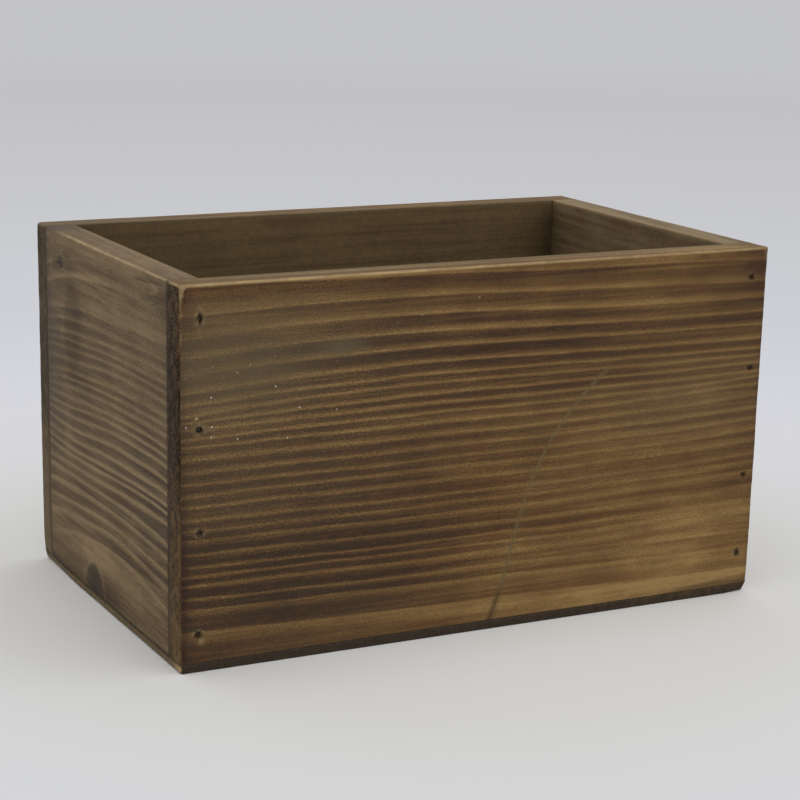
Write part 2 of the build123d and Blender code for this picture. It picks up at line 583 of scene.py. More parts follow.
def stained_wood(name, grain, stain, veil, worn, fade):
    """Softwood rings under a stain, from the board's marks.

    The depth of stain is the board's own depth, plus the contrast times how
    dark the ring is, plus fibres and blotches. A ramp turns it into colour.
    The dark wood fades between the two shares of the ring that fade gives.
    """
    finish = Finish(name)

    # The rings: how far down its ring each place is, and where the dark wood lies
    wobble = finish.noise(along_grain(grain, 26, 2.5), 3)
    width = finish.mark("width") / MM
    count = finish.mark("count") + (wobble - 0.5) * 1.3 / width
    share = count.math("FRACT")
    below = share * width
    above = (1 - share) * width
    turn = finish.mark("turn")
    fading = (1 - share.step(*fade)) * below.step(0.0, 1.0)
    growing = share.step(1 - fade[1], 1 - fade[0]) * above.step(0.0, 1.0)
    dark = fading * (1 - turn) + growing * turn
    line = (1 - above.step(0.2, 1.2)) * (1 - turn) + (1 - below.step(0.4, 1.4)) * turn

    # The depth of the stain, with fibres, short dashes, long streaks and blotches
    fibres = finish.noise(along_grain(grain, 22, 0.45), 4, 0.6)
    dashes = finish.noise(along_grain(grain, 1.8, 0.6), 3, 0.6, 4.0)
    mottle = finish.noise(along_grain(grain, 9, 3), 4, 0.6, 6.0)
    streaks = finish.noise(along_grain(grain, 90, 2.2), 3, 0.5, 3.0)
    specks = finish.noise(0.6, 2, 0.6, 7.0)
    blotches = finish.noise((30, 24, 18), 3, 0.5, 11.0)
    contrast = finish.mark("contrast") * (streaks * 2.4 - 0.2)
    depth = finish.mark("depth") + contrast * (dark - 0.5) - contrast * line * 0.2
    fine = (fibres - 0.5) * 0.5 + (dashes - 0.5) * 0.5 + specks - 0.5
    depth = depth + fine * finish.mark("speckle")
    depth = depth + (streaks - 0.5) * 0.5 + (blotches - 0.5) * 0.5
    colour = finish.node("ShaderNodeValToRGB", {"stops": stain}, {"Fac": depth}).outputs[0]

    # Redder and greener places, where there is no haze
    unveiled = 1 - finish.mark("haze")
    reddish = (mottle.step(0.5, 0.72) * 0.3 + streaks.step(0.5, 0.8) * 0.3) * unveiled
    olive = (1 - mottle).step(0.5, 0.75) * unveiled * 0.22

    # End grain, with its pores and saw marks
    pores = finish.noise((0.9, 0.9, 0.8), 3, 0.65, 5.0)
    saw = finish.noise((2.5, 2.5, 6), 3, 0.6, 9.0)
    end = finish.mark("end")
    raw = (pores - 0.5) * 2.2 + (saw - 0.5) * 1.9 + (dark - 0.5) * 0.15
    raw = raw + 1.1 - finish.mark("depth") * 0.72

    # Worn wood, scratches and dull places, all broken up by scuffs
    scuffs = finish.noise(2.5, 4, 0.65, 2.0)
    bare = finish.mark("bare") * (0.2 + scuffs * 1.5)
    score = finish.mark("score") * (scuffs.step(0.3, 0.65) * 0.8 + 0.2)
    dull = finish.mark("dull") * (0.65 + scuffs * 0.7)

    # White specks, one in some of the cells of a pattern that faces the front
    facing = {"Vector": finish.place, "Rotation": (np.radians(90), 0, 0), "Scale": (1 / (5 * MM),) * 3}
    dots = finish.node("ShaderNodeMapping", {}, facing)
    cells = {"Vector": dots.outputs[0], "Scale": 1.0}
    dots = finish.node("ShaderNodeTexVoronoi", {"voronoi_dimensions": "2D"}, cells)
    picked = finish.node("ShaderNodeSeparateColor", {}, {"Color": dots.outputs["Color"]})
    dust = (1 - Value(finish, dots.outputs["Distance"]).step(0.04, 0.09)) * finish.mark("dust")
    dust = dust * Value(finish, picked.outputs["Red"]).step(0.8, 0.85)

    # Each of these lies over the last: how much it covers, and its colour
    layers = (
        (reddish, tint(102, 66, 43)),
        (olive, tint(90, 78, 48)),
        (end, finish.blend(raw, tint(40, 28, 17), tint(106, 84, 56))),
        (finish.mark("haze"), veil),
        (bare, worn),
        (score, tint(106, 93, 62)),
        (dull, finish.blend(pores, tint(46, 38, 33), tint(78, 69, 57))),
        # Grime and dark joints, and painted shade in the pits and the inside corners
        (finish.mark("grime"), tint(22, 18, 16)),
        (dust, tint(196, 186, 168)),
    )
    for cover, layer in layers:
        colour = finish.blend(cover, colour, layer)
    height = fibres * 0.5 + dashes * 0.3 + pores * end + specks * 0.2
    rough = 0.66 + (fibres - 0.5) * 0.3 + bare * 0.1
    return finish.surface(colour, rough, height, 0.1 * MM, specular=0.06)


grey_brown = (
    (0.0, tint(139, 119, 89)),
    (0.3, tint(119, 101, 74)),
    (0.55, tint(100, 84, 62)),
    (0.8, tint(81, 68, 52)),
    (1.0, tint(66, 55, 44)),
)
grey_veil = tint(101, 90, 78)
grey_worn = tint(172, 150, 114)
left_wood = stained_wood("grey_brown_stain", 1, grey_brown, grey_veil, grey_worn, (0.5, 0.95))


def end_board(name, node, end, edges, patches, knots, material):
    """One end board. end is 0 for the left one, whose outside faces -X, and 1 for the right."""
    out, back = ("right", "left") if end else ("left", "right")
    low, high = (np.array(corner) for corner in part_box(node))
    shown_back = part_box("back_board")[1][1] - drawn_inset
    near_scratches = [
        (shown_back - stop[0] * MM, shown_back - start[0] * MM, scratch_step) for start, stop in end_scratches
    ]
    lines = (
        grid_lines(low[0], high[0], thickness_step, rim_round),
        grid_lines(low[1], high[1], end_board_step, joint_round, near_scratches),
        grid_lines(low[2], high[2], wall_row_step, rim_round),
    )
    flat, quads, sides = box_shell(lines)
    inward = to_face(flat, low, high, out)
    from_back = shown_back - flat[:, 1]
    down = high[2] - flat[:, 2] - drawn_drop
    place = np.stack([from_back, down], axis=1)
    inside, rim = wall_parts(inward, down)
    outer = 1 - past(inward, 1, 4)

    # The rings, which slope through the thickness, and the stain's patches
    marks = new_marks(len(flat))
    lifted = down + inward * 0.7 + ripple(flat, 40, 20) * 0.4 * MM
    marks["count"], marks["width"] = ring_count(lifted, from_back, left_places, edges)
    marks["turn"] = past(down, 90, 98)
    stain_patches(marks, place, patches)
    marks["contrast"] *= 1 - 0.75 * inside
    marks["depth"] += 0.1 * inside

    # Knots, each with dark bark round it, a light ring outside that and dark pith,
    # and the faint scratches
    pith = 0
    for middle, reach, amount, hollow in knots:
        r = np.linalg.norm((place / MM - middle) / reach, axis=1)
        r += 0.06 * ripple(flat, 5, 45)
        shades = 1 - hollow * bell(r, 0.5, 0.2)
        knot = amount * shades / (1 + (r / 0.93) ** 8)
        marks["dull"] = np.maximum(marks["dull"], knot * outer)
        marks["depth"] -= 0.25 * amount * bell(r, 1.22, 0.12)
        bark = amount * outer * bell(r, 0.97, 0.12)
        marks["depth"] += 0.4 * bark
        marks["haze"] -= bark
        pith += 0.4 * amount * bell(r, 0, 0.22)
    for start, stop in end_scratches:
        scratched = 0.6 * line_mark(place, start, stop, 0.5 * MM) * outer
        marks["score"] = np.maximum(marks["score"], scratched)

    # The ring that turns back: darker outside it, with a light line along it
    middle, reach = turned_ring
    r = np.linalg.norm((place / MM - middle) / reach, axis=1)
    ahead = past(from_back, middle[0], middle[0] + 10) * (1 - past(down, 8, 14))
    marks["depth"] += 0.2 * ahead * outer * (smooth(r, 0.9, 1.1) - 0.8 * bell(r, 0.9, 0.1))

    # The rim and the inner face, the grime in the joint at the foot, and the edges
    marks["contrast"] *= 1 - 0.6 * rim
    marks["haze"] -= 0.5 * inside
    marks["speckle"] *= (0.8 + 0.28 * past(from_back, 55, 105)) * (1 - 0.4 * inside)
    marks["depth"] -= rim * rim_lighter[end] + inside * 0.19
    seam = 1 - past(flat[:, 2] - low[2], 0.2, 1.1)
    marks["grime"] = outer * (0.6 * seam * np.clip(0.7 + 0.5 * ripple(flat, 7, 46), 0, 1) + pith)
    # Painted shade in the inside corners
    marks["grime"] += 0.3 * painted_corner_shade(inside, from_ends(flat, low, high, 1), down, 14 * MM)
    rubbed = 0.9 * past(from_back, 16, 46)
    worn = {(out, "top"): (rubbed, wear_reach), (back, "top"): (0.3, wear_reach)}
    worn_edges(marks, flat, low, high, worn)

    rounds = {(out, "top"): rim_round, (back, "top"): mouth_round}
    radius = round_sizes(flat, low, high, rounds, 30 + end)
    points = rounded(flat, low, high, radius, ring_hollow(marks))
    piece = wood_piece(name, node, points, quads, sides, flat, marks, material)


end_board("left_end_board_wood", "left_end_board", 0, left_edges, left_patches, left_knots, left_wood)

# The right end board. A board like the left one at the other end of the box,
# under the same stain. The photo hides its outside.

right_edges = (
    (5.0, 6.4, 8.2, 12.5),
    (11.3, 12.9, 15.0, 19.6),
    (16.0, 18.0, 20.4, 25.1),
    (22.8, 25.1, 27.6, 32.4),
    (27.2, 29.8, 32.4, 37.3),
    (33.1, 36.0, 38.6, 43.5),
    (40.3, 43.3, 46.0, 50.8),
    (44.9, 48.1, 50.9, 55.6),
    (51.6, 54.9, 57.6, 62.1),
    (59.8, 63.1, 65.8, 69.9),
    (64.5, 67.9, 70.6, 74.4),
    (71.7, 75.0, 77.5, 81.0),
    (80.4, 83.6, 85.9, 88.8),
    (86.0, 89.1, 91.2, 93.7),
    (93.9, 96.7, 98.4, 100.2),
    (103.1, 105.5, 106.8, 107.9),
    (109.2, 111.4, 112.4, 113.0),
    (118.0, 119.6, 120.1, 119.9),
    (127.9, 129.0, 128.9, 127.9),
    (138.4, 138.9, 138.2, 136.4),
)
right_patches = (
    (60, 30, 50, 22, 2, -0.10, -0.10),
    (120, 90, 40, 30, 2, 0.08, 0.10),
    (30, 110, 36, 20, 2, -0.12, -0.15, 0.15),
    (100, 48, 30, 10, 2, 0.10, 0, 0.10),
    (80, 138, 90, 5, 3, 0.08, -0.25),
)
right_knots = (((104, 88), (5.2, 3.6), 0.95, 0.2),)
end_board("right_end_board_wood", "right_end_board", 1, right_edges, right_patches, right_knots, left_wood)

# The front board. A wide flat-sawn board that runs the whole length and covers
# the ends of the end boards. Four brads at each end hold it, each driven into a
# small torn pit. A long scratch runs down its face.

# Its rings and patches are given as the left board's are, but along from its left end
front_places = (10.0, 61.7, 165.0, 245.0)
front_edges = (
    (-1.3, 0.7, 2.6, 4.0),
    (10.6, 9.5, 11.0, 12.9),
    (18.4, 16.5, 18.4, 19.8),
    (25.5, 23.5, 24.8, 25.8),
    (31.6, 29.8, 30.1, 31.3),
    (38.6, 36.0, 36.1, 36.9),
    (43.2, 40.9, 40.4, 41.2),
    (47.0, 44.3, 43.8, 44.1),
    (50.0, 48.4, 47.6, 47.3),
    (52.6, 51.9, 51.5, 51.0),
    (56.4, 55.5, 55.3, 53.6),
    (59.4, 59.1, 59.0, 56.6),
    (63.9, 63.9, 64.0, 61.5),
    (69.0, 69.0, 68.8, 66.7),
    (73.6, 73.5, 73.6, 71.4),
    (78.0, 77.4, 78.0, 76.0),
    (82.0, 82.0, 82.6, 81.0),
    (86.8, 87.3, 88.0, 86.4),
    (90.9, 91.0, 91.6, 89.7),
    (94.4, 94.8, 95.4, 93.4),
    (99.6, 100.4, 101.4, 99.5),
    (104.8, 105.5, 106.4, 105.7),
    (108.3, 108.8, 110.0, 109.0),
    (112.0, 112.3, 114.0, 113.7),
    (117.0, 118.2, 119.6, 119.4),
    (121.4, 122.3, 124.4, 124.7),
    (130.4, 131.7, 133.6, 135.2),
    (145.0, 146.0, 149.0, 151.0),
)
front_patches = (
    (40, 111, 64, 18, 5, 0.19, 0.02),
    (175, 34, 95, 12, 2, 0.06, 0.10),
    (60, 30, 60, 5, 2, 0.05),
    (204, 4, 24, 5, 2, -0.12),
    (212, 1, 40, 0.9, 2, -0.16),
    (16, 2.6, 16, 1.8, 2, -0.07),
    (9, 5, 9, 3.5, 2, -0.10),
    (160, 6, 16, 5, 2, 0.07),
    (87, 53, 8, 6, 2, 0.09),
    (95, 66, 34, 6, 2, 0.06),
    (88, 99, 26, 8, 2, 0.05),
    (135, 101, 8, 6, 2, 0.06),
    (225, 52, 32, 6, 2, -0.05),
    (238, 133.3, 18, 2.2, 2, 0.17),
    (160, 124, 14, 5, 2, 0.05),
    (210, 18, 26, 6, 2, -0.22, -0.08),
    (214, 42, 40, 12, 3, -0.04, -0.10),
    (182, 130, 76, 22, 3, -0.15, -0.22),
    (165, 105, 80, 14, 3, 0, -0.12),
    (232, 112, 42, 8, 3, -0.20, -0.10),
    (230, 124, 36, 18, 3, -0.14, -0.30),
    (240, 130, 20, 6, 3, -0.08),
    (232, 137, 30, 2.2, 3, -0.28),
    (90, 102, 28, 7, 2, 0.08),
    (2, 16, 3, 14, 2, 0.15, -0.10),
    (52, 5.0, 42, 1.7, 2, -0.11, -0.05),
    (15, 14, 13, 2.4, 2, -0.17),
    (12, 18.6, 14, 2.2, 2, 0.13),
    (234, 0, 17, 0.8, 3, -0.16, 0, 0.10),
    (70, 0, 7, 0.8, 2, -0.06, 0, 0.12),
    (40, 40, 66, 55, 3, 0, 0, 0.12),
    (50, 95, 70, 22, 3, 0.06, 0, 0.05),
    (214, 18, 36, 8, 3, 0, -0.05),
    (195, 2.5, 62, 2.2, 3, 0.08),
    (44, 34, 50, 10, 2, 0.05, 0.12),
    (30, 84, 52, 44, 3, 0, 0.10),
    (172, 105, 40, 24, 2, 0, 0.07),
    (232, 10, 30, 12, 2, 0, -0.12),
    (228, 41, 18, 7, 2, -0.10),
    (152, 65, 20, 8, 2, -0.06),
    (40, 124, 36, 6, 2, 0.06),
    (236, 141, 22, 4, 2, -0.08, 0, 0.20),
    (16, 34, 30, 16, 2, 0, 0, 0.15),
    (40, 130, 60, 14, 3, 0.03, 0, 0.10),
    (172, 90, 50, 12, 2, 0, 0, -0.25),
    (192, 142, 42, 3, 2, -0.12),
    (242, 76, 16, 9, 2, 0.06),
    (236, 112, 24, 7, 2, 0.03),
    (205, 67, 56, 14, 3, -0.10),
    (40, 54, 34, 10, 2, -0.06),
    (74, 124, 14, 7, 2, 0.09),
    (62, 136, 18, 6, 2, 0.07),
    (188, 136, 22, 5, 2, -0.08),
    (200, 90, 52, 13, 2, -0.16, -0.20),
    (22, 28, 32, 20, 2, -0.04, -0.20, 0.30),
    (8, 72, 34, 24, 2, -0.02, -0.12, 0.10),
    (222, 62, 42, 14, 1, -0.03, -0.15, 0.28),
    (120, 72, 110, 16, 2, 0.02, -0.12),
    (0, 110, 2.5, 36, 1, 0.45),
    (251, 10, 6, 10, 1, 0.25),
    (150, 138, 90, 5, 2, -0.12, -0.10),
    (95, 137, 50, 4, 3, -0.08, -0.10),
    (12, 137, 24, 6, 2, 0.08, -0.10),
    (34, 92, 34, 5, 2, 0.08, -0.12),
    (64, 26.5, 8, 3, 2, -0.05, -0.10, 0.50),
    (6, 129.5, 2.6, 1.4, 2, 0.40, 0, 0.20),
)

# Where white specks lie: the middle, half sizes and amount
dust_patches = (
    ((30, 48), (34, 15), 1.0),
    ((130, 16), (34, 5), 0.8),
)

# Chips of bare wood by two of the left brads, given in the same way, and a pin knot
bare_spots = (
    ((7.4, 133.7), (1.2, 1.4), 0.32),
    ((5.6, 48.7), (0.55, 0.35), 1.2),
)
pin_knot = ((133.8, 114.3), (0.7, 0.8))

# The light wedge at the right foot ends below at an edge: along, then down
wedge_along = np.array((190, 206, 222, 240, 254)) * MM
wedge_down = np.array((144, 142.4, 140.3, 138.5, 137.4)) * MM

# The path of the long scratch: down, then along
scratch_down = np.array((43, 50, 66.7, 83.3, 100, 116.7, 131.7, 141.7)) * MM
scratch_along = np.array((182.5, 173.3, 156.7, 150, 144.2, 136.7, 133.3, 130.8)) * MM

# Steps of the grid: along the board, by its upright edges, by a pit and by the scratch
front_step = 4.6 * MM
corner_step = 0.6 * MM
pit_step = 0.36 * MM
long_scratch_step = 0.27 * MM

# The upright edges' radius, how far in their close steps reach, how deep a pit is,
# and how far from the outer edge of the rim the stain is rubbed off
corner_round = 1.5 * MM
corner_reach = 6.2 * MM
pit_depth = 1.02 * MM
long_wear_reach = 1.35 * MM

# How deeply the end grain is stained, at places down it, on the front and the back
end_down = (0, 7, 35, 50, 66, 80, 93, 113, 132, 140)
end_depths = (
    (1.15, 1.2, 1.42, 1.48, 1.35, 1.0, 0.95, 0.8, 0.5, 0.6),
    (1.55, 1.25, 1.15, 1.45, 1.6, 1.15, 0.65, 0.2, -0.1, 0.35),
)

# Painted light on the end grain close to the upright edge, against the shade on its rounding: how much
# lighter it is, again at places down it
edge_light_down = (0, 12, 18, 37, 50, 66, 84, 100, 115)
edge_light_depths = (0.05, 0.1, 0.3, 0.05, 0.25, 0, 0.05, 0.45, 0)

warm_brown = (
    (0.0, tint(156, 127, 80)),
    (0.15, tint(136, 108, 67)),
    (0.3, tint(119, 91, 56)),
    (0.5, tint(98, 73, 45)),
    (0.75, tint(74, 54, 39)),
    (1.0, tint(54, 40, 32)),
)
warm_veil = tint(104, 92, 70)
warm_worn = tint(174, 148, 106)
front_wood = stained_wood("warm_brown_stain", 0, warm_brown, warm_veil, warm_worn, (0.46, 0.94))


def head_places(node, axis, along):
    """The middle of each brad's head in a row, read from the frame.

    The heads' flat tops are the row's furthest points from the box's middle
    along Y, or its lowest ones along Z. Sorted along the row, they part
    wherever the next one is over 5 mm away.
    """
    corners = np.array([vertex.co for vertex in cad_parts[node].data.vertices])
    outer = np.abs(corners[:, axis]).max() if axis == 1 else corners[:, axis].min()
    tops = corners[np.abs(np.abs(corners[:, axis]) - outer) < 0.05 * MM]
    tops = tops[np.argsort(tops[:, along])]
    splits = np.nonzero(np.diff(tops[:, along]) > 5 * MM)[0] + 1
    return np.array([(part.min(axis=0) + part.max(axis=0)) / 2 for part in np.split(tops, splits)])


def sink_pits(points, heads, across, sizes, outer):
    """How far each point of a face sinks into the pits, how much painted shade darkens it and how torn it is.

    across holds the face's two axes. r is the distance from the pit's middle in
    pit half sizes, made uneven by a fine ripple. The wall falls from the mouth
    at r = 1.1 to the bottom at r = 0.5.
    """
    depth = np.zeros(len(points))
    dark = np.zeros(len(points))
    torn = np.zeros(len(points))
    uneven = 0.28 * ripple(points, 0.9, 41)
    fibres = np.clip(0.3 + ripple(points, (1.8, 1, 0.7), 42), 0, 1)
    for head, (wide, tall, painted_pit_shade) in zip(heads, sizes):
        off = (points - head)[:, across] / (np.array((wide, tall)) * MM)
        r = np.hypot(off[:, 0], off[:, 1]) + uneven
        depth = np.maximum(depth, (1 - smooth(r, 0.5, 1.1)) * pit_depth)
        # Painted shade in and around each pit
        dark = np.maximum(dark, painted_pit_shade * (1 - smooth(r, 0.6, 1.5)))
        torn = np.maximum(torn, smooth(r, 1.1, 1.4) * (1 - smooth(r, 1.8, 2.9)) * fibres)
    return depth * outer, dark * outer, torn * outer


def pit_span(first, last, reach=1.6 * MM):
    """A span of close grid lines over the pits whose middles lie from first to last."""
    return first - reach, last + reach, pit_step


def hand_wear(marks, from_end, down, outer):
    """Wear the stain off beside an upright edge, most at the top corner.

    The stain stops at a line beside the two edges, which turns the corner in
    an arc of radius R: it is R - |(R - x, R - y)| away, where x and y are the
    distances from the line's two straight parts. Just inside the line, and 2 mm
    below the rim, it is redder. Further down, the edge is a little grimy.
    """
    heights = np.array((0, 4, 6, 8, 11, 14, 19, 23, 30)) * MM
    amount = np.interp(down, heights, (0.8, 0.7, 0.6, 0.25, 0.3, 0.0, 0.25, 0.0, 0.0))
    beside = np.interp(down, heights, (1.6, 1.5, 1.4, 1.2, 1.1, 1.1, 1.1, 1.0, 1.0)) * MM
    uneven = ripple(np.stack([from_end, down, down], axis=1), 3, 44)
    beside += 0.25 * MM * uneven * past(down, 2, 7)
    arc = 2.3 * MM
    past_end = np.clip(arc - from_end + beside, 0, None)
    past_top = np.clip(arc - down + 0.4 * MM, 0, None)
    past_top += 0.5 * MM * np.exp(-from_end / (5 * MM)) * (past_top > 0)
    apart = arc - np.hypot(past_end, past_top)
    bare = 1 - past(apart, -0.3, 0.3)
    bare *= np.clip(1 + 0.5 * uneven * past(down, 2, 7), 0, 1)
    border = bell(apart, 0.5 * MM, 0.35 * MM)
    marks["bare"] = np.maximum(marks["bare"], 0.8 * amount * bare * outer)
    reddened = bell(down, 2 * MM, 1.3 * MM) * past(apart, 0, 0.5)
    marks["haze"] -= 1.2 * np.maximum(border * amount, reddened) * outer
    foot = past(down, 22, 32) * (1 - past(from_end, 1.2, 3.6))
    marks["grime"] += 0.2 * foot * outer


def long_board(name, node, end, edges, patches, pit_rows, sizes, material):
    """A long board. end is 0 for the front one, whose outside faces -Y, and 1 for the back."""
    out, back, start = ("back", "front", "right") if end else ("front", "back", "left")
    low, high = (np.array(corner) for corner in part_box(node))
    heads = np.vstack([head_places(row, 1, 2) for row in pit_rows])
    near_x = [(low[0] + corner_round, low[0] + corner_reach, corner_step)]
    near_x.append((high[0] - corner_reach, high[0] - corner_round, corner_step))
    for row in pit_rows:
        across = head_places(row, 1, 2)[:, 0]
        near_x.append(pit_span(across.min(), across.max(), 1.7 * MM))
    if not end:
        middle = low[0] + scratch_along.mean()
        near_x.append((middle - 1.1 * MM, middle + 1.1 * MM, long_scratch_step))
    near_z = [pit_span(head[2], head[2]) for head in heads]
    lines = (
        grid_lines(low[0], high[0], front_step, corner_round, near_x),
        grid_lines(low[1], high[1], thickness_step, rim_round),
        grid_lines(low[2], high[2], wall_row_step, rim_round, near_z),
    )
    flat, quads, sides = box_shell(lines)
    lattice = flat.copy()
    down = high[2] - flat[:, 2] - drawn_drop

    # The grid's upright lines bend to follow the long scratch
    if not end:
        bend = np.polyfit(scratch_down, scratch_along, 3)
        path = np.polyval(bend, np.clip(down, scratch_down[0], scratch_down[-1])) + drawn_inset
        follow = past(from_ends(flat, low, high, 0) - 14 * MM, 0, 95)
        follow /= follow.max()
        flat[:, 0] += follow * (path - scratch_along.mean())
    inward = to_face(flat, low, high, out)
    along = to_face(flat, low, high, start) - drawn_inset
    from_end = from_ends(flat, low, high, 0)
    place = np.stack([along, down], axis=1)
    inside, rim = wall_parts(inward, down)
    outer = 1 - past(inward, 0.1, 0.5)

    # The rings, which slope through the thickness, and the stain's patches
    marks = new_marks(len(flat))
    lifted = down - inward * 0.8 + ripple(flat, 50, 50 + end) * 0.3 * MM
    marks["count"], marks["width"] = ring_count(lifted, along, front_places, edges)
    marks["turn"] = past(down, 80, 96)
    stain_patches(marks, place, patches)
    if not end:
        for middle, reach, amount in dust_patches:
            spread = dent(place / MM, middle, reach, 3)
            marks["dust"] = np.maximum(marks["dust"], amount * spread * outer)
        for middle, reach, amount in bare_spots:
            marks["bare"] += amount * dent(place / MM, middle, reach, 3)
        marks["dull"] += 0.8 * dent(place / MM, *pin_knot) * outer
        past_wedge = past(down - np.interp(along, wedge_along, wedge_down), -0.1, 0.4)
        marks["depth"] += 0.2 * past_wedge * past(along, 190, 206)
        marks["depth"] += 0.07 * past(down, 139.5, 142) * past(along, 200, 235)

    # The inner face and the rim, and the fine grain, which is fainter far from the
    # left end, about the middle, and in bands by the rim and the foot
    marks["contrast"] *= 1 - 0.8 * inside
    marks["contrast"] *= 1 - 0.6 * rim
    marks["haze"] += 0.12 * inside + rim * 0.15
    marks["dull"] += 0.6 * inside
    blurred = past(along, 80, 240)
    marks["speckle"] *= (1.4 - 0.85 * blurred) * (1 - 0.4 * inside)
    even = past(along, 50, 100) * (1 - past(along, 165, 205))
    marks["speckle"] *= 1 - 0.32 * even
    banded = 1 - past(down, 14, 24) + past(down, 118, 130)
    marks["speckle"] *= 1 - 0.38 * banded * (1 - 0.6 * blurred)
    marks["contrast"] *= 1 - 0.2 * blurred
    marks["depth"] -= rim * 0.16 + inside * 0.45
    if not end:
        bands = 0.1 * bell(inward, 2.8 * MM, 1.3 * MM)
        bands -= 0.14 * bell(inward, 6.2 * MM, 1.8 * MM)
        marks["depth"] += rim * bands * (1 - past(along, 80, 105))

    # The brads' pits with painted shade in them, and painted shade in the inside corners
    depth, dark, torn = sink_pits(flat, heads, (0, 2), sizes, outer)
    corner_shade = painted_corner_shade(inside, from_end - (high[1] - low[1]), down, 8 * MM)
    marks["grime"] = np.maximum(dark, 0.6 * corner_shade)
    torn *= 1 - 0.7 * blurred
    marks["bare"] = np.maximum(marks["bare"] * outer, torn * 0.22)
    marks["haze"] += torn * 0.5

    # The end grain at both ends
    ends = 1 - past(from_end, 0.1, 0.6)
    ragged = inward + 0.5 * MM * ripple(flat, 1.6, 49)
    ends *= 1 - 0.8 * past(ragged, 11.4, 12.2)
    marks["end"] = ends
    end_depth = np.interp(down, np.array(end_down) * MM, end_depths[end])
    edge_light = np.interp(down, np.array(edge_light_down) * MM, edge_light_depths)
    # Painted light by the upright edge, against the shade on its rounding
    end_depth -= edge_light * (1 - past(ragged, 1, 3.2))
    marks["depth"] += ends * (end_depth - marks["depth"])
    marks["haze"] *= 1 - ends
    if end:
        greyed = 0.2 + 0.1 * past(down, 6, 20) + 0.3 * past(down, 75, 110)
        marks["haze"] += greyed * ends + 0.45 * rim * past(along, 185, 240)
        marks["depth"] += 0.35 * ripple(flat, 4, 48) * ends

    # Worn edges, and on the front the long scratch, which is 0.08 mm deep
    hand_wear(marks, along + drawn_inset, down, outer)
    hand_wear(marks, high[0] - low[0] - along - drawn_inset, down, outer * 0.4)
    rubbed = np.interp(along, np.array((100, 150, 200, 235)) * MM, (1.0, 0.7, 0.85, 0.5))
    worn = {(out, "top"): (rubbed, long_wear_reach), (back, "top"): (0.3, wear_reach)}
    worn.update({(side, "top"): (0.2 if end else 0.85, wear_reach) for side in ("left", "right")})
    worn_edges(marks, flat, low, high, worn)
    if not end:
        aside = np.abs(flat[:, 0] - low[0] - path)
        shown = past(down, 42, 46) * outer
        foot = past(down, 126, 134)
        broad = (0.7 + 0.4 * (1 - past(down, 45, 75)) + 0.5 * foot) * MM
        score = bell(aside, 0, broad) * shown
        marks["score"] = 1.2 * score * (1 - 0.5 * foot)
        marks["grime"] += score * foot * 0.5
        depth += score * 0.08 * MM

    rounds = {(face, "top"): rim_round for face in (out, "left", "right")}
    rounds.update({(out, side): corner_round for side in ("left", "right")})
    rounds[(back, "top")] = mouth_round
    radius = round_sizes(flat, low, high, rounds, 60 + end)
    points = rounded(flat, low, high, radius, ring_hollow(marks) + depth)
    piece = wood_piece(name, node, points, quads, sides, lattice, marks, material)


# Half the width and height of each brad's pit in millimetres, and how dark the painted shade in it is
front_pits = (
    (1.4, 1.1, 0.85), (1.1, 1.0, 0.7), (1.25, 1.05, 0.95), (0.95, 1.8, 0.95),
    (1.2, 1.5, 0.8), (1.3, 1.2, 0.55), (1.25, 1.0, 0.8), (1.3, 1.1, 0.8),
)
long_board(
    "front_board_wood", "front_board", 0, front_edges, front_patches,
    ("front_left_brads", "front_right_brads"), front_pits, front_wood,
)

# The back board. A board like the front one, nailed on in the same way. The
# photo shows only its rim, its inside and the end grain at its left end.

back_edges = (
    (4.0, 3.1, 5.2, 8.5),
    (9.8, 9.4, 12.0, 15.6),
    (15.1, 15.0, 17.4, 21.0),
    (21.5, 21.9, 24.0, 27.2),
    (26.0, 27.0, 29.5, 32.0),
    (31.9, 33.4, 35.6, 37.8),
    (36.0, 38.0, 40.4, 42.0),
    (41.8, 44.2, 46.5, 47.9),
    (49.0, 51.6, 53.8, 54.8),
    (54.5, 57.6, 59.4, 60.0),
    (62.8, 66.0, 67.2, 67.1),
    (71.0, 74.4, 75.2, 74.3),
    (77.2, 80.9, 81.3, 79.9),
    (84.0, 87.8, 87.6, 85.7),
    (89.0, 92.7, 92.4, 90.1),
    (95.5, 99.0, 98.3, 95.6),
    (100.2, 103.5, 102.5, 99.4),
    (107.3, 110.0, 108.6, 105.2),
    (113.8, 116.0, 114.2, 110.6),
    (121.9, 123.5, 121.2, 117.3),
    (131.0, 131.8, 128.9, 124.6),
    (140.5, 140.2, 137.0, 132.6),
)
back_patches = (
    (60, 40, 60, 20, 2, -0.08, -0.10, 0.10),
    (190, 96, 60, 20, 2, 0.10, 0.05),
    (90, 118, 70, 16, 2, -0.12, -0.15),
    (210, 26, 50, 16, 2, -0.06, -0.15, 0.25),
    (0, 110, 2.5, 36, 1, 0.30),
)
long_board(
    "back_board_wood", "back_board", 1, back_edges, back_patches,
    ("back_left_brads", "back_right_brads"), front_pits, front_wood,
)

# The brads. Drawn steel wire with flat heads, driven below the surface and a
# little dulled. They hold the boards together and the base panel on.

finish = Finish("brad_steel")
scuffs = finish.noise(0.4, 3)
steel = finish.blend(scuffs.step(0.45, 0.7), tint(48, 44, 40), tint(118, 112, 104))
brad_steel = finish.surface(steel, 0.35 + scuffs * 0.3, scuffs, 0.02 * MM, metallic=1.0)
for name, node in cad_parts.items():
    if name.endswith("brads"):
        for slot in node.material_slots:
            slot.material = brad_steel

# The base panel. A thin softwood panel nailed on under the four walls and flush
# with them. Its front edge was left raw, and a chip is out of its left edge.

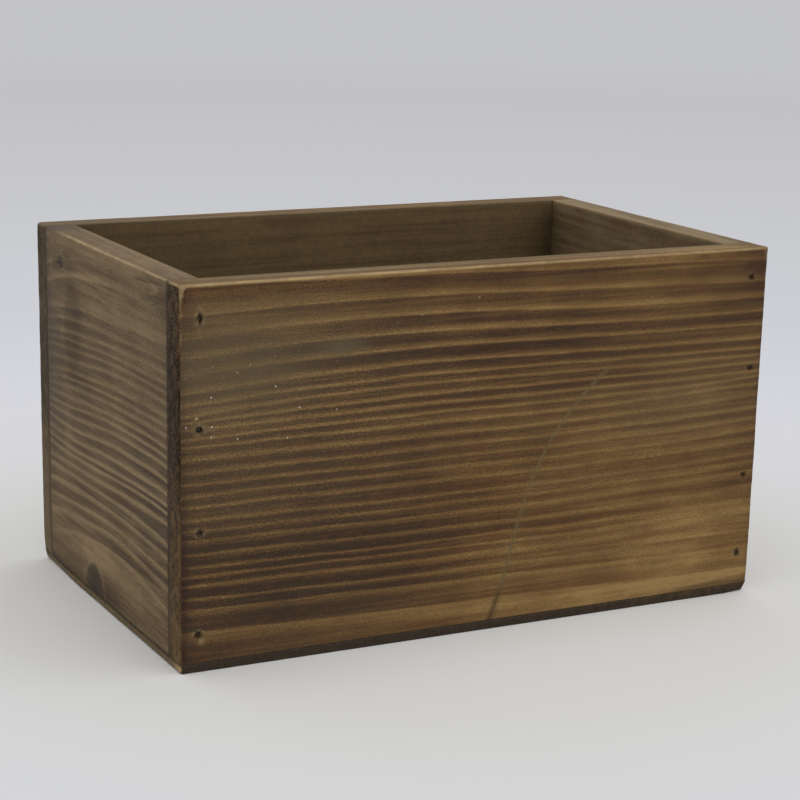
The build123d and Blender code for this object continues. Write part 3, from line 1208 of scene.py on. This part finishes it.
base_step = 3.0 * MM
base_row_step = 0.7 * MM
foot_round = 0.6 * MM
left_foot_round = 1.3 * MM
base_ring = 6.5 * MM
low, high = (np.array(corner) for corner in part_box("base_panel"))
long_heads = np.vstack([head_places(row, 2, 0) for row in ("base_front_brads", "base_back_brads")])
short_heads = np.vstack([head_places(row, 2, 1) for row in ("base_left_brads", "base_right_brads")])
all_heads = np.vstack([long_heads, short_heads])
near_heads = [[pit_span(spot, spot) for spot in all_heads[:, axis]] for axis in (0, 1)]
lines = (
    grid_lines(low[0], high[0], base_step, corner_round, near_heads[0]),
    grid_lines(low[1], high[1], base_step, corner_round, near_heads[1]),
    grid_lines(low[2], high[2], base_row_step, foot_round),
)
flat, quads, sides = box_shell(lines)

# The pits of the hidden brads, and rings that run along the panel, counted from
# 40 at its middle so that no count is below 0
underside = 1 - past(flat[:, 2], 0.2, 1)
long_sunk = sink_pits(flat, long_heads, (0, 1), [(1.3, 0.9, 0.8)] * len(long_heads), underside)
short_sunk = sink_pits(flat, short_heads, (0, 1), [(0.9, 1.3, 0.8)] * len(short_heads), underside)
sunk, painted_pit_shade, torn = np.maximum(long_sunk, short_sunk)
marks = new_marks(len(flat))
across_rings = flat[:, 1] / base_ring + 0.9 * ripple(flat, (900, 26, 26), 70)
marks["count"] = across_rings + 0.5 * ripple(flat, 110, 73) + 40
marks["width"] = np.full(len(flat), base_ring)

# Greyed edges, the raw front edge, grime in the joint above, and the chip
base_rounds = {(side, "under"): foot_round for side in ("front", "back", "right")}
base_rounds[("left", "under")] = left_foot_round
base_rounds.update({(a, b): corner_round for a in ("front", "back") for b in ("left", "right")})
near_end = from_ends(flat, low, high, 0)
ends = 1 - past(near_end, 0.1, 0.7)
front_side = 1 - past(flat[:, 1] - low[1], 0.1, 0.5)
marks["end"] = 0.3 + 0.7 * front_side
warmer = smooth(flat[:, 0], high[0] - 80 * MM, high[0] - 45 * MM)
marks["dull"] = 0.1 + 0.35 * past(flat[:, 2], 2.2, 3.5)
marks["dull"] += front_side * (0.85 - 0.15 * warmer - marks["dull"])
marks["depth"] += (0.95 - 0.3 * warmer) * front_side - 0.2 + 0.1 * ripple(flat, 18, 72)
marks["haze"] += 0.75 * (1 - front_side) + 0.15 * ends * ripple(flat, 25, 74)
marks["depth"] += 0.25 * ends * ripple(flat, (3, 5, 2), 75)
marks["depth"] -= 0.4 * ends * dent(flat, (low[0], high[1], low[2]), 24 * MM)
marks["speckle"] *= 1 + 0.6 * front_side
joint = past(flat[:, 2], 2.9, 3.7) * (1 - past(flat[:, 2], 3.7, 3.79))
near_side = np.minimum(near_end, from_ends(flat, low, high, 1))
joint *= (1 - past(near_side, 0.5, 2)) * (1 - front_side) * (0.8 + 0.4 * ripple(flat, 6, 76))
# The dark joint above, and the painted shade in the pits of the hidden brads
marks["grime"] = 0.85 * np.clip(joint, 0, 1) + painted_pit_shade
marks["grime"] += 0.16 * front_side * (1 - past(flat[:, 2], 2.2, 3.4))
chip = dent(flat, (low[0], low[1] + 1.5 * MM, 1.8 * MM), np.array((1.5, 4.5, 1.4)) * MM)
marks["bare"] = np.maximum(0.8 * chip * ends, 0.35 * torn)
marks["dull"] *= 1 - chip
blunt = 1 + 1.2 * dent(flat, (high[0], low[1], low[2]), 7 * MM)
blunt -= (blunt - 1) * past(flat[:, 2], 1.5, 2.5)
radius = np.minimum(round_sizes(flat, low, high, base_rounds, 71) * blunt, (high[2] - low[2]) * 0.48)
points = rounded(flat, low, high, radius, sunk)
piece = wood_piece("base_panel_wood", "base_panel", points, quads, sides, flat, marks, front_wood)

# The floor. A plain pale sweep of paper with a fine tooth, far wider than the
# box. It is painted lighter near the box, a pool of painted light that weakens
# the box's shadow, and it is greyer up to 3 m away.

floor_reach = 14.0
paper_reach = 3.0
mesh = bpy.data.meshes.new("floor")
corners = [(-floor_reach, -floor_reach, 0), (floor_reach, -floor_reach, 0)]
corners += [(floor_reach, floor_reach, 0), (-floor_reach, floor_reach, 0)]
mesh.from_pydata(corners, [], [(0, 1, 2, 3)])
floor = bpy.data.objects.new("floor", mesh)
bpy.context.scene.collection.objects.link(floor)
finish = Finish("paper_with_painted_light")
away = finish.node("ShaderNodeVectorMath", {"operation": "LENGTH"}, {0: finish.place})
share = Value(finish, away.outputs["Value"]) / paper_reach
# The lightest tones, near the box, are painted light against its shadow
paper_tones_with_painted_light = (
    (0.0, tint(236, 235, 231)),
    (0.035, tint(236, 235, 231)),
    (0.058, tint(224, 223, 219)),
    (0.085, tint(219, 219, 219)),
    (0.12, tint(217, 217, 220)),
    (0.21, tint(206, 207, 211)),
    (0.4, tint(199, 199, 200)),
    (0.75, tint(193, 192, 193)),
    (1.0, tint(195, 195, 197)),
)
paper_with_painted_light = finish.node("ShaderNodeValToRGB", {"stops": paper_tones_with_painted_light}, {"Fac": share}).outputs[0]
tooth = finish.noise(1.2, 2)
mesh.materials.append(finish.surface(paper_with_painted_light, 0.9, tooth, 0.02 * MM, specular=0.1))

# The light. A pale dome all round, and one wide soft lamp above the box, a
# little to the front and to the right of it.

world = bpy.data.worlds.new("dome")
world.use_nodes = True
world.node_tree.nodes["Background"].inputs["Color"].default_value = tint(250, 251, 254)
world.node_tree.nodes["Background"].inputs["Strength"].default_value = 0.86
bpy.context.scene.world = world
lamp = bpy.data.lights.new("soft_lamp", "SUN")
lamp.angle = 1.2
lamp.energy = 0.55
lamp_object = bpy.data.objects.new("soft_lamp", lamp)
lamp_object.rotation_euler = (np.radians(16), np.radians(12), 0)
bpy.context.scene.collection.objects.link(lamp_object)

# The camera. It stands in front of the box, to the left, and looks a little
# down on it. Its numbers were fitted to the corners of the box.

camera_turn = np.radians(-26.943)
camera_lift = np.radians(15.258)
camera_roll = -0.02015
camera_place = (-0.40538, -0.78526, 0.28113)
focal_pixels = 2160.7
centre_pixels = (378.64, 482.84)
picture_pixels = 800
back = np.array([
    np.sin(camera_turn) * np.cos(camera_lift), -np.cos(camera_turn) * np.cos(camera_lift), np.sin(camera_lift)
])
level = np.cross(-back, (0, 0, 1))
level /= np.linalg.norm(level)
upright = np.cross(level, -back)
right = np.cos(camera_roll) * level - np.sin(camera_roll) * upright
up = np.sin(camera_roll) * level + np.cos(camera_roll) * upright
camera = bpy.data.cameras.new("camera")
camera.sensor_width = 36
camera.lens = focal_pixels / picture_pixels * camera.sensor_width
camera.shift_x = (picture_pixels / 2 - centre_pixels[0]) / picture_pixels
camera.shift_y = (centre_pixels[1] - picture_pixels / 2) / picture_pixels
camera_object = bpy.data.objects.new("camera", camera)
pose = np.eye(4)
pose[:3, 0] = right
pose[:3, 1] = up
pose[:3, 2] = back
pose[:3, 3] = camera_place
camera_object.matrix_world = Matrix(pose.tolist())
bpy.context.scene.collection.objects.link(camera_object)
bpy.context.scene.camera = camera_object
bpy.context.scene.view_settings.view_transform = "Standard"
